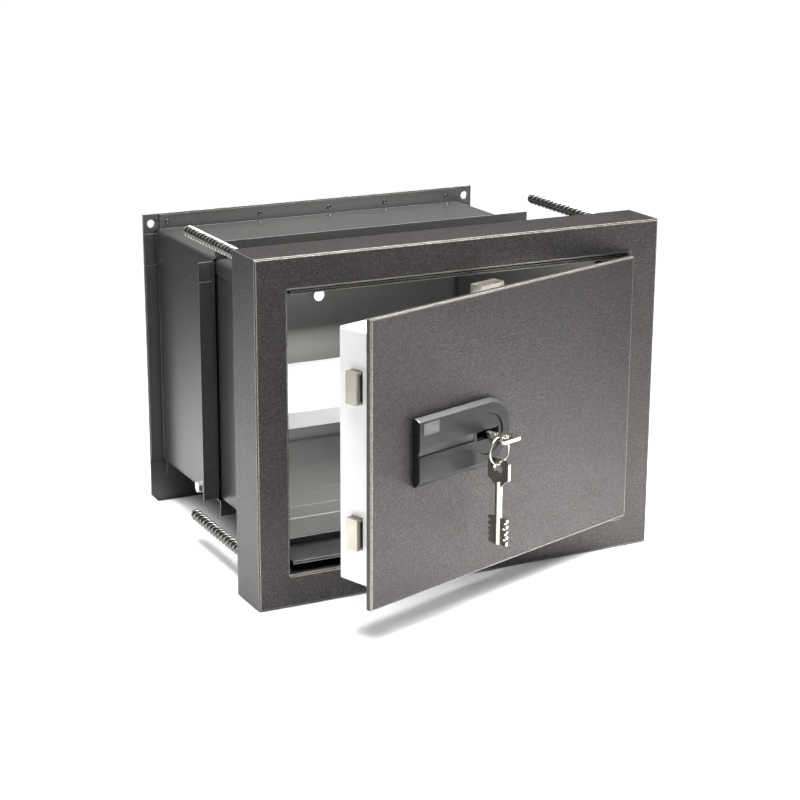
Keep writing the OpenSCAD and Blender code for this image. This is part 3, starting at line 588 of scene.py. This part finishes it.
def area_light(name, place, target, size, power, only=None, spread=180):
    """A soft box in metres, watts and degrees; only names the collection that it lights."""
    data = bpy.data.lights.new(name, "AREA")
    data.shape = "RECTANGLE"
    data.size, data.size_y = size
    data.energy = power
    data.spread = math.radians(spread)
    obj = bpy.data.objects.new(name, data)
    obj.location = place
    obj.rotation_euler = (Vector(target) - Vector(place)).to_track_quat("-Z", "Y").to_euler()
    obj.visible_camera = False
    bpy.context.scene.collection.objects.link(obj)
    if only:
        obj.light_linking.receiver_collection = only
    return obj


def skins(*starts):
    """A collection of the visible pieces whose names begin in one of these ways."""
    group = bpy.data.collections.new("lit_" + starts[0])
    for obj in bpy.context.scene.objects:
        if obj.type == "MESH" and not obj.hide_render and obj.name.startswith(starts):
            group.objects.link(obj)
    return group


def lights():
    backdrop = bpy.data.collections.new("backdrop_only")
    backdrop.objects.link(bpy.data.objects["floor"])
    world = bpy.data.worlds.new("studio")
    bpy.context.scene.world = world
    world.use_nodes = True
    background = world.node_tree.nodes["Background"]
    background.inputs["Color"].default_value = (1, 1, 1, 1)
    seen = world.node_tree.nodes.new("ShaderNodeLightPath").outputs["Is Camera Ray"]
    strength = world.node_tree.nodes.new("ShaderNodeMapRange")
    strength.inputs["To Min"].default_value = 0.1
    strength.inputs["To Max"].default_value = 1.0
    world.node_tree.links.new(seen, strength.inputs["Value"])
    world.node_tree.links.new(strength.outputs["Result"], background.inputs["Strength"])
    middle = (0, 0, 0.18)
    area_light("overhead", (0.0, -0.05, 1.3), (0.0, -0.05, 0), (1.1, 1.0), 21, spread=90)
    area_light("near_floor", (0.32, -0.22, 0.5), (0.32, -0.22, 0), (0.5, 0.3), 4.5, backdrop, 100)
    area_light("left_floor", (-0.6, 0.45, 0.6), (-0.6, 0.45, 0), (0.5, 0.5), 4, backdrop, 110)
    area_light("rear_wash", (0.9, 2.0, 0.95), (0.1, 0.1, 0.25), (2.6, 1.2), 3,
               skins("rear_", "flange_weld", "cover_weld", "key", "spare_key", "split_ring"))
    area_light("corner_glint", (0.66, -0.93, 0.73), (0, 0.34, 0.31), (0.7, 0.5), 14,
               skins("rear_top_cover", "rear_plate", "flange_weld", "cover_weld"))
    area_light("lock_glint", (-0.06, -0.09, 0.75), (-0.06, -0.09, 0.2), (0.35, 0.08), 85,
               skins("escutcheon", "keyhole_disc", "key_skin", "split_ring"))
    area_light("right", (1.6, -1.05, 1.0), middle, (0.25, 0.25), 7)
    area_light("front", (-0.75, -1.9, 0.35), (-0.1, 0, 0.18), (0.6, 0.5), 3)
    inside = skins("front_shell", "rear_shell", "rear_plate", "rear_top_cover", "shelf")
    area_light("upper_glow", (0, 0.045, 0.298), (0, 0.25, 0.18), (0.3, 0.03), 2.2, inside)
    area_light("lower_glow", (0, 0.1, 0.15), (0, 0.25, 0.05), (0.3, 0.03), 1.7, inside)


def camera():
    """Camera set by its angle round the object, its height above the horizon and its distance."""
    azimuth, elevation, roll = (math.radians(a) for a in (-27.183, 16.284, 0.243))
    target = Vector((-70.33, 0.0, 192.41)) * MM
    distance = 1.96279
    back = Vector((math.sin(azimuth) * math.cos(elevation),
                   -math.cos(azimuth) * math.cos(elevation), math.sin(elevation)))
    level = Vector((math.cos(azimuth), math.sin(azimuth), 0))
    upright = back.cross(level)
    right = level * math.cos(roll) + upright * math.sin(roll)
    up = upright * math.cos(roll) - level * math.sin(roll)
    data = bpy.data.cameras.new("camera")
    data.sensor_width = 36
    data.lens = 91.965
    data.clip_end = 100
    obj = bpy.data.objects.new("camera", data)
    place = Matrix((right, up, back)).transposed().to_4x4()
    place.translation = target + back * distance
    obj.matrix_world = place
    bpy.context.scene.collection.objects.link(obj)
    bpy.context.scene.camera = obj


bpy.context.scene.view_settings.view_transform = "Standard"
build()
floor()
lights()
camera()
